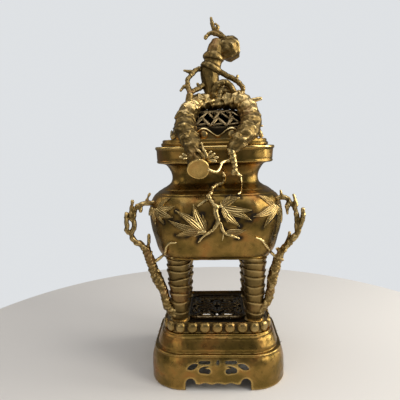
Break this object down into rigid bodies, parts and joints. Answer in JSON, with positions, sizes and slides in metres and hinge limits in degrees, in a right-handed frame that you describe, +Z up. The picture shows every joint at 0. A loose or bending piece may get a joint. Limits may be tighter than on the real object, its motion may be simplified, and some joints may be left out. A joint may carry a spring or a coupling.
{
  "type": "bronze incense burner",
  "caption": "Cast bronze incense burner with branch handles, leaf reliefs, ringed legs on a pierced stand, and a lift-off pierced lid with a trunk-shaped arch and bamboo finial.",
  "frame": {"origin": "on the table, under the middle of the overall box, 10.5 mm in front of the middle of the stand", "axes": "+Z up, -Y towards the front with the sawn branch end, +X to the right seen from the front"},
  "size_m": [0.2313, 0.1819, 0.4812],
  "materials": {
    "cast_bronze": "cast, polished on the crests, brown patina in the hollows",
    "bright_bronze": "cast relief, rubbed bright",
    "dark_bronze": "cast openwork, nearly black brown patina",
    "bark_bronze": "cast bark, knobbed, polished on the crests",
    "nut_brass": "turned, dull"
  },
  "bodies": {
    "censer": {"stand_shell": "cast_bronze", "petal_band": "bright_bronze", "stand_panel": "dark_bronze", "leg_front_left": "bark_bronze", "leg_front_right": "bark_bronze", "leg_rear_left": "bark_bronze", "leg_rear_right": "bark_bronze", "leg_nut_front_left": "nut_brass", "leg_nut_front_right": "nut_brass", "leg_nut_rear_left": "nut_brass", "leg_nut_rear_right": "nut_brass", "vessel_bowl": "cast_bronze", "leaves_front_left": "bright_bronze", "leaves_front_right": "bright_bronze", "leaves_corner_left": "bright_bronze", "leaves_corner_right": "bright_bronze", "rear_leaves_front_left": "bright_bronze", "rear_leaves_front_right": "bright_bronze", "rear_leaves_corner_left": "bright_bronze", "rear_leaves_corner_right": "bright_bronze", "front_vine": "bark_bronze", "side_strand": "bark_bronze", "branch_handle_left": "bark_bronze", "branch_handle_right": "bark_bronze", "handle_root_left": "bark_bronze", "handle_root_right": "bark_bronze"},
    "lid": {"lid_plate": "cast_bronze", "lid_dome": "dark_bronze", "cusped_border": "bright_bronze", "handle_arch": "bark_bronze", "arch_nut": "nut_brass", "bamboo_stump": "bark_bronze", "stump_head": "bark_bronze", "top_twig": "bark_bronze", "left_branch": "bark_bronze", "right_branch": "bark_bronze", "root_loop": "bark_bronze", "tail_root": "bark_bronze", "root_curl": "bark_bronze"}
  },
  "joints": [
    {"name": "lid_lift", "type": "slide", "parent": "censer", "child": "lid", "axis": [0, 0, 1], "range_m": [0, 0.1]}
  ]
}
